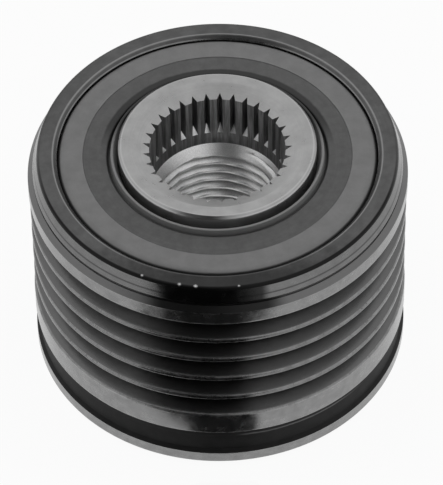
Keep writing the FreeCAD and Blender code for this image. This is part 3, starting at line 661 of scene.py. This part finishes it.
def ring_corners(sizes):
    """Corners of the ring's outline from the bore's rear end outwards, up the outside and back down."""
    flange, rear, front = ring_high.x, ring_low.z, ring_high.z
    edge = sizes.edge_round
    half_angle = sizes.groove_angle / 2
    half = (sizes.groove_pitch - sizes.rib_width) / 2
    land_half = half + sizes.rib_drop * math.tan(half_angle)
    bottom_half = half - sizes.groove_depth * math.tan(half_angle)
    tip = flange - sizes.rib_drop
    bottom = tip - sizes.groove_depth
    last, land_end, rim_top, neck_end = ring_places(sizes)
    fine_step = land_end - sizes.relief_line
    neck = flange - sizes.neck_drop
    corners = [
        (bore_radius, rear + seat_depth, edge),
        (seat_radius, rear + seat_depth, edge),
        (seat_radius, rear + sizes.bevel, edge),
        (seat_radius + sizes.bevel, rear, edge),
        (flange - sizes.rim_bevel, rear, edge),
        (flange, rear + sizes.rim_bevel, edge),
        (flange, rim_top, edge),
        (flange - sizes.relief_foot, rim_top + sizes.rim_slope, edge),
        (flange - sizes.relief_foot, fine_step - 0.1 * MM, edge / 2),
        (flange - sizes.relief_drop, fine_step + 0.05 * MM, edge / 2),
        (flange - sizes.relief_drop, land_end - sizes.relief_drop, edge),
        (flange, land_end, edge),
    ]
    for groove in range(sizes.groove_count):
        middle = last + groove * sizes.groove_pitch
        below = (flange, land_half) if groove == 0 else (tip, half)
        above = (flange, land_half) if groove == sizes.groove_count - 1 else (tip, half)
        corners += [
            (below[0], middle - below[1], sizes.rib_round),
            (bottom, middle - bottom_half, sizes.rib_round),
            (bottom, middle + bottom_half, sizes.rib_round),
            (above[0], middle + above[1], sizes.rib_round),
        ]
    return corners + [
        (flange, front - sizes.land_start, edge),
        (neck, neck_end - sizes.cap_groove_width, edge / 2),
        (neck - sizes.cap_groove_depth, neck_end - sizes.cap_groove_width, edge / 2),
        (neck - sizes.cap_groove_depth, neck_end, edge / 2),
        (neck, neck_end, edge / 2),
        (flange - sizes.face_drop, front, sizes.face_round),
        (seat_radius + sizes.bevel, front, edge),
        (seat_radius, front - sizes.bevel, edge),
        (seat_radius, front - seat_depth, edge),
        (bore_radius, front - seat_depth, edge),
    ]


def paint_faces(mesh, chooser):
    """Gives each face the material number that chooser works out from the faces' middles."""
    middles = np.empty(len(mesh.polygons) * 3, np.float32)
    mesh.polygons.foreach_get("center", middles)
    middles = middles.reshape(-1, 3)
    chosen = chooser(np.hypot(middles[:, 0], middles[:, 1]), middles[:, 2])
    mesh.polygons.foreach_set("material_index", chosen.astype(np.int32))
    mesh.update()


class PULLEY_OT_belt_ring(bpy.types.Operator):
    """Make the ribbed belt ring"""

    bl_idname = "pulley.belt_ring"
    bl_label = "Belt Ring"

    def execute(self, context):
        sizes = context.scene.pulley_ring
        mesh = turned_mesh("belt_ring", ring_corners(sizes))
        piece = add_piece(mesh, "pulley", "pulley_ring", [
            burnished_steel("burnished_steel", sizes.steel),
            face_steel("face_steel", sizes.face_steel),
            matt_black("relief_black", sizes.relief_black),
            flank_steel(
                "flank_steel", sizes.flank_steel,
                (ring_high.z - sizes.first_groove) / MM, sizes.groove_pitch / MM,
            ),
            burnished_steel("rib_steel", scaled(sizes.steel, sizes.rib_share)),
        ])
        flange, front = ring_high.x, ring_high.z
        last, land_end, rim_top, neck_end = ring_places(sizes)
        land_start = front - sizes.land_start

        def finish_number(radius, height):
            """0 burnished, 1 face and shoulder, 2 relief, 3 flanks and 4 ribs."""
            outside = radius > seat_radius + sizes.bevel
            # The band behind the face's rounding takes the face steel as painted shade
            face = (height > front - sizes.shaded_band) | ((height < neck_end) & (height > land_start))
            relief = (height < land_end) & (height > rim_top) & outside
            grooved = (height > last - sizes.groove_pitch) & (height < land_start) & outside
            flank = (radius < flange - sizes.rib_drop - sizes.rib_round) & grooved
            rib = (radius < flange - sizes.rib_drop / 2) & grooved
            return np.select([face, relief, flank, rib], [1, 2, 3, 4], 0)

        paint_faces(piece.data, finish_number)
        return {"FINISHED"}


def between(low_curve, high_curve, rows):
    """Rows spread evenly from one (radius, height) curve to the next, the last one left out."""
    u = np.arange(rows)[:, None] / rows
    return [low * (1 - u) + high * u for low, high in zip(low_curve, high_curve)]


def tooth_angles(count, space):
    """Column angles: on each root and edge of the socket's teeth, on each tip, and between."""
    shares = np.array([-0.5, -0.36, -space, -space / 2, 0.0, space / 2, space, 0.36])
    return ((np.arange(count)[:, None] + shares[None, :]) * 2 * np.pi / count).ravel()


def hub_mesh(sizes):
    """Hub as one closed tube of curves, each a radius and a height for every angle.

    The socket's wall stands at the tips' radius, and between two teeth at the V of their space:
    root times sin(half angle) over sin(half angle + angle from the root's middle). The thread's
    radius follows its own sawtooth of height less pitch times turn, with an eighth of the pitch
    left flat, and is cut off by the end chamfers.
    """
    half = sizes.tooth_angle / 2
    tip, root = sizes.tooth_tip, sizes.tooth_root
    edge_angle = math.asin(root / tip * math.sin(half)) - half
    pitch_angle = 2 * math.pi / sizes.tooth_count
    angles = tooth_angles(sizes.tooth_count, edge_angle / pitch_angle)
    flat = np.ones_like(angles)
    from_root = np.abs((angles / pitch_angle + 0.5) % 1 - 0.5) * pitch_angle
    wall = np.maximum(tip, root * math.sin(half) / np.sin(half + from_root))
    top, bottom, outside = hub_high.z, hub_low.z, hub_high.x
    cone = math.tan(sizes.mouth_angle)
    run_slope = sizes.tooth_runout / (root - tip)
    run_start = top - sizes.tooth_depth
    socket_end = top - sizes.socket_depth
    minor, major, pitch = sizes.thread_minor, sizes.thread_major, sizes.thread_pitch
    flank = math.tan(math.radians(THREAD_FLANK_DEGREES))
    thread_top = socket_end - (tip - minor)
    pilot_end = bottom + sizes.pilot_depth
    thread_bottom = pilot_end + (sizes.pilot_radius - minor)

    edge, bevel = sizes.edge_round, sizes.rear_bevel
    corners = [
        (sizes.pilot_radius, bottom + bevel, edge),
        (sizes.pilot_radius + bevel, bottom, edge),
        (outside - bevel, bottom, edge),
        (outside, bottom + bevel, edge),
        (outside, top - sizes.front_bevel, sizes.shoulder_round),
        (outside - sizes.front_bevel, top, edge),
        (sizes.mouth_radius, top, sizes.mouth_round),
        (root, top - (sizes.mouth_radius - root) * cone, edge),
    ]
    outline, wear = rounded_outline(corners)
    per_corner = len(outline) // len(corners)
    outline, wear = outline[:-per_corner], wear[:-per_corner]
    wear[-per_corner:] = 0.0
    bands = [(outline[:-1, :1] * flat, outline[:-1, 1:] * flat, wear[:-1])]

    def level(radius, height):
        """The circle at one radius and height."""
        return radius * flat, height * flat

    def add_bands(curves, counts):
        """Adds rows between each curve and the next."""
        for low, high, rows in zip(curves, curves[1:], counts):
            bands.append((*between(low, high, rows), np.zeros(rows)))

    chamfer_end = level(major, socket_end - (tip - major))
    pilot_thread = level(major, thread_bottom - (major - minor))
    add_bands([
        level(*outline[-1]),
        (wall, top - (sizes.mouth_radius - wall) * cone),
        (wall, run_start - (root - wall) * run_slope),
        level(tip, run_start - sizes.tooth_runout - 0.04 * MM),
        level(tip, socket_end),
        chamfer_end,
    ], (4, 8, 3, 3, 2))
    rows = int((chamfer_end[1][0] - pilot_thread[1][0]) / pitch * ROWS_PER_PITCH)
    height = between(chamfer_end, pilot_thread, rows)[1]
    turn = height / pitch - angles / (2 * np.pi) - sizes.thread_phase
    from_crest = np.abs((turn + 0.5) % 1 - 0.5) * pitch
    radius = np.clip(minor + (from_crest - pitch / 8) * flank, minor, major)
    chamfers = np.maximum(minor + height - thread_top, minor + thread_bottom - height)
    bands.append((np.maximum(radius, chamfers), height, np.zeros(rows)))
    add_bands([pilot_thread, level(sizes.pilot_radius, pilot_end), level(*outline[0])], (2, 6))
    radius, height, wear = (np.concatenate(part) for part in zip(*bands))
    return ring_mesh("threaded_hub", radius, height, angles, wear)


class PULLEY_OT_threaded_hub(bpy.types.Operator):
    """Make the hub with its toothed socket and its thread"""

    bl_idname = "pulley.threaded_hub"
    bl_label = "Threaded Hub"

    def execute(self, context):
        sizes = context.scene.pulley_hub
        piece = add_piece(hub_mesh(sizes), "hub", "hub", [
            turned_steel("turned_steel", sizes.steel),
            socket_steel("socket_steel", sizes.socket_steel),
            cut_steel("cut_steel", sizes.cut_steel),
        ])
        top, root, tip = hub_high.z, sizes.tooth_root, sizes.tooth_tip
        run_slope = sizes.tooth_runout / (root - tip)

        def finish_number(radius, height):
            """0 turned, 1 socket and 2 cut, with a few hundredths of a millimetre left at each border."""
            cone_height = top - (sizes.mouth_radius - radius) * math.tan(sizes.mouth_angle)
            inside = (radius < root + 0.01 * MM) & (height < cone_height - 0.03 * MM)
            run_height = top - sizes.tooth_depth - (root - radius) * run_slope
            run = (height < run_height + 0.03 * MM) & (radius > tip + 0.02 * MM)
            in_socket = height > top - sizes.socket_depth
            below = (height < top - sizes.socket_depth) & (height > hub_low.z + sizes.pilot_depth)
            cut = (below & (radius < tip + 0.01 * MM)) | (inside & run & in_socket)
            return np.select([cut, inside & in_socket], [2, 1], 0)

        paint_faces(piece.data, finish_number)
        return {"FINISHED"}


class PULLEY_OT_lip_seals(bpy.types.Operator):
    """Make the front and rear lip seals, each a steel case and its rubber"""

    bl_idname = "pulley.lip_seals"
    bl_label = "Lip Seals"

    def execute(self, context):
        sizes = context.scene.pulley_seal
        case_finish = phosphated_sheet("phosphated_sheet", sizes.case_steel)
        rubber_finish = seal_rubber("seal_rubber", sizes.rubber)
        for side, face, inward in (("front", ring_high.z, -1), ("rear", ring_low.z, 1)):
            case, rubber = seal_corners(sizes, face, inward)
            for part, corners, finish in (("case", case, case_finish), ("lip", rubber, rubber_finish)):
                mesh = turned_mesh(f"{side}_lip_seal_{part}", corners)
                add_piece(mesh, "pulley", f"{side}_seal_{part}", [finish])
        return {"FINISHED"}


def seal_corners(sizes, face, inward):
    """Corners of a seal's case and rubber, by radius and by depth below the ring's face."""
    drop = ring_high.z - case_high.z
    edge, crease, bulge, heel = 0.05 * MM, 0.1 * MM, 0.25 * MM, 0.3 * MM
    seat, hub = seat_radius, hub_high.x
    opening = seat - sizes.case_face
    inner = seat - sizes.case_wall
    back = drop + sizes.case_wall
    case = [
        (opening, drop, edge),
        (opening, back, edge),
        (inner, back, edge),
        (inner, seat_depth, edge),
        (seat, seat_depth, edge),
        (seat, drop, sizes.case_bend),
    ]
    bond = opening + sizes.bond_width
    fold = hub + sizes.fold_gap
    crest = hub + sizes.lip_gap
    lip = hub + sizes.seal_gap
    skin = drop + sizes.rubber_drop
    bond_back = back + sizes.bond_thickness
    rubber = [
        (opening, skin, edge),
        (fold, skin, bulge),
        (fold, sizes.fold_depth, crease),
        (fold - sizes.fold_width, sizes.fold_depth, crease),
        (crest, -sizes.lip_rise, crease),
        (crest - sizes.lip_width, -sizes.lip_rise, crease),
        (lip, sizes.seal_depth - sizes.seal_width, edge),
        (lip, sizes.seal_depth, edge),
        (lip + sizes.seal_width, sizes.heel_depth, edge),
        (fold, sizes.heel_depth, heel),
        (fold + sizes.bond_thickness, bond_back, heel),
        (bond, bond_back, heel / 2),
        (bond, back, edge),
        (opening, back, edge),
    ]
    outlines = []
    for corners in (case, rubber):
        placed = [(radius, face + inward * depth, round_off) for radius, depth, round_off in corners]
        outlines.append(placed if inward < 0 else placed[::-1])
    return outlines


class PULLEY_OT_inner_parts(bpy.types.Operator):
    """Finish the sleeves, rollers, needles, cages, springs and washers inside the ring"""

    bl_idname = "pulley.inner_parts"
    bl_label = "Inner Parts"

    def execute(self, context):
        colours = context.scene.pulley_inner
        finishes = {
            "race_steel": ground_steel("ground_races", colours.race_steel),
            "roller_steel": ground_steel("lapped_rollers", colours.roller_steel, 0.1),
            "spring_steel": ground_steel("spring_strip", colours.spring_steel, 0.3),
            "cage_plastic": filled_nylon("cage_nylon", colours.cage_nylon),
            "washer_plastic": filled_nylon("washer_nylon", colours.washer_nylon),
        }
        for part in frame["record"]["subparts"]:
            if part["material_slot"] in finishes:
                data = frame["nodes"][part["node"]].data
                data.materials.clear()
                data.materials.append(finishes[part["material_slot"]])
        return {"FINISHED"}


def add_stage_plane(name, corners, material):
    """A flat sheet that belongs to the studio and not to the pulley."""
    mesh = bpy.data.meshes.new(name)
    mesh.from_pydata(corners, [], [range(len(corners))])
    mesh.materials.append(material)
    sheet = add_object(name, mesh)
    return sheet


def seen_directly(tree):
    """1 for what the camera, gloss or glass sees, and 0 for what only lights other things."""
    path = tree.nodes.new("ShaderNodeLightPath")
    seen = path.outputs["Is Camera Ray"]
    for kind in ("Is Glossy Ray", "Is Transmission Ray"):
        most = tree.nodes.new("ShaderNodeMath")
        most.operation = "MAXIMUM"
        tree.links.new(seen, most.inputs[0])
        tree.links.new(path.outputs[kind], most.inputs[1])
        seen = most.outputs[0]
    return seen


def pale_floor(tone_value, paper):
    """Pale floor that shows nearly as white paper and keeps the pulley's shadow."""
    look = Finish("pale_floor", tone_value)
    look.mottle(look.noise(0.05), 0.3, 0.7, 0.99, 1.0)
    look.finish(Roughness=0.9)
    white = look.add("ShaderNodeEmission", Color=WHITE, Strength=1.0).outputs[0]
    share_white = look.product(seen_directly(look.tree), paper)
    blend = look.add("ShaderNodeMixShader", None, share_white, look.shader.outputs[0], white)
    look.feed(look.tree.nodes["Material Output"].inputs["Surface"], blend.outputs[0])
    return look.material


def studio_world(strength):
    """Even light from all round; what the camera, gloss and glass see of it is plain white."""
    world = bpy.data.worlds.new("studio")
    bpy.context.scene.world = world
    world.use_nodes = True
    tree = world.node_tree
    background = tree.nodes["Background"]
    background.inputs["Color"].default_value = WHITE
    level = tree.nodes.new("ShaderNodeMapRange")
    tree.links.new(seen_directly(tree), level.inputs["Value"])
    level.inputs["To Min"].default_value = strength
    level.inputs["To Max"].default_value = 1.0
    tree.links.new(level.outputs["Result"], background.inputs["Strength"])


# Black card before the pulley, x and y in millimetres: corners on the floor, and corners at the card's top.
# The wedge on the floor is a painted shadow, seen only in reflections.
CARD_OUTLINES = {
    "painted_shadow_wedge": ([
        (-3, -26), (-7, -28.7), (-20, -29), (-30, -37), (-21.5, -45), (-206, -287), (66, -287), (23, -46),
        (19, -45), (9.4, -42), (6.5, -33), (7.5, -29.5), (4, -26),
    ], []),
    "black_card_upright": ([(66, -287), (-206, -287)], [(-300, -287), (50, -287)]),
    "black_card_roof": ([], [(-300, -287), (-166, -60), (30, -60), (50, -287)]),
}


def add_black_card(settings):
    """Black card out of the camera's sight: a wedge on the floor that is a painted shadow seen in
    reflections, an upright and a roof.
    """
    black = Finish("black_card", (0.003, 0.003, 0.003))
    black.lay(black.noise(0.5), 2.0)
    black.finish(Roughness=1.0, Specular_IOR_Level=0.0)
    floor = cad_low.z + settings.flag_lift
    top = cad_low.z + settings.flag_height
    for name, (low, raised) in CARD_OUTLINES.items():
        corners = [(x * MM, y * MM, floor) for x, y in low] + [(x * MM, y * MM, top) for x, y in raised]
        card = add_stage_plane(name, corners, black.material)
        card.visible_camera = False
        card.visible_shadow = False


def add_softbox(name, place, power):
    """A square area lamp that points at the pulley and leaves no highlight of its own."""
    lamp = bpy.data.lights.new(name, "AREA")
    lamp.size = SOFTBOX_SIZE
    lamp.energy = power
    box = add_object(name, lamp)
    box.visible_glossy = False
    box.location = place
    box.rotation_euler = (Vector(SOFTBOX_TARGET) - Vector(place)).to_track_quat("-Z", "Y").to_euler()


def add_camera(settings):
    """Camera that puts the ring face's middle at its pixel of the photo."""
    elevation, distance = settings.camera_elevation, settings.camera_distance
    face = Vector((0.0, 0.0, ring_high.z))
    back = Vector((0.0, -math.cos(elevation), math.sin(elevation)))
    up = Vector((0.0, math.sin(elevation), math.cos(elevation)))
    pixel = distance / settings.focal_pixels
    place = face + back * distance
    target = face + up * (settings.face_row - PHOTO_HEIGHT / 2) * pixel
    target.x = (PHOTO_WIDTH / 2 - settings.face_column) * pixel
    lens = bpy.data.cameras.new("photo_camera")
    lens.sensor_width = SENSOR_MM
    lens.lens = settings.focal_pixels * lens.sensor_width / PHOTO_HEIGHT
    lens.clip_start, lens.clip_end = 0.01, 20.0
    camera = add_object("photo_camera", lens)
    roll = Matrix.Rotation(-settings.camera_roll, 3, "Z")
    turn = (target - place).to_track_quat("-Z", "Y").to_matrix() @ roll
    camera.matrix_world = Matrix.Translation(place) @ turn.to_4x4()
    bpy.context.scene.camera = camera


class PULLEY_OT_studio(bpy.types.Operator):
    """Set up the floor, lights and camera"""

    bl_idname = "pulley.studio"
    bl_label = "Studio"

    def execute(self, context):
        settings = context.scene.pulley_studio
        context.scene.view_settings.view_transform = "Standard"
        floor = [(x * FLOOR_HALF, y * FLOOR_HALF, cad_low.z) for x, y in ((-1, -1), (1, -1), (1, 1), (-1, 1))]
        add_stage_plane("floor", floor, pale_floor(settings.floor_tone, settings.floor_paper))
        studio_world(settings.world_strength)
        for name, place, power in SOFTBOXES:
            add_softbox(name, place, power)
        add_black_card(settings)
        add_camera(settings)
        return {"FINISHED"}


class PULLEY_PT_looks(bpy.types.Panel):
    """Lists the pulley's pieces and their settings"""

    bl_idname = "PULLEY_PT_looks"
    bl_label = "Pulley"
    bl_space_type = "VIEW_3D"
    bl_region_type = "UI"
    bl_category = "Pulley"

    def draw(self, context):
        for settings, _, operator in GROUPS:
            column = self.layout.column(align=True)
            column.operator(operator.bl_idname)
            group = getattr(context.scene, settings)
            for name in group.__annotations__:
                column.prop(group, name)


# The scene's name for each group of settings, its class, and the operator that reads it
GROUPS = (
    ("pulley_ring", RingSettings, PULLEY_OT_belt_ring),
    ("pulley_hub", HubSettings, PULLEY_OT_threaded_hub),
    ("pulley_seal", SealSettings, PULLEY_OT_lip_seals),
    ("pulley_inner", InnerSettings, PULLEY_OT_inner_parts),
    ("pulley_studio", StudioSettings, PULLEY_OT_studio),
)
CLASSES = [made for group in GROUPS for made in group[1:]] + [PULLEY_PT_looks]


def register():
    """Registers the classes and gives the scene their settings."""
    for made in CLASSES:
        bpy.utils.register_class(made)
    for name, group, _ in GROUPS:
        setattr(bpy.types.Scene, name, bpy.props.PointerProperty(type=group))


def unregister():
    """Takes the settings and classes away again."""
    for name, _, _ in GROUPS:
        delattr(bpy.types.Scene, name)
    for made in reversed(CLASSES):
        bpy.utils.unregister_class(made)


def main():
    register()
    bpy.ops.pulley.belt_ring()
    bpy.ops.pulley.threaded_hub()
    bpy.ops.pulley.lip_seals()
    bpy.ops.pulley.inner_parts()
    bpy.ops.pulley.studio()


if __name__ == "__main__":
    main()
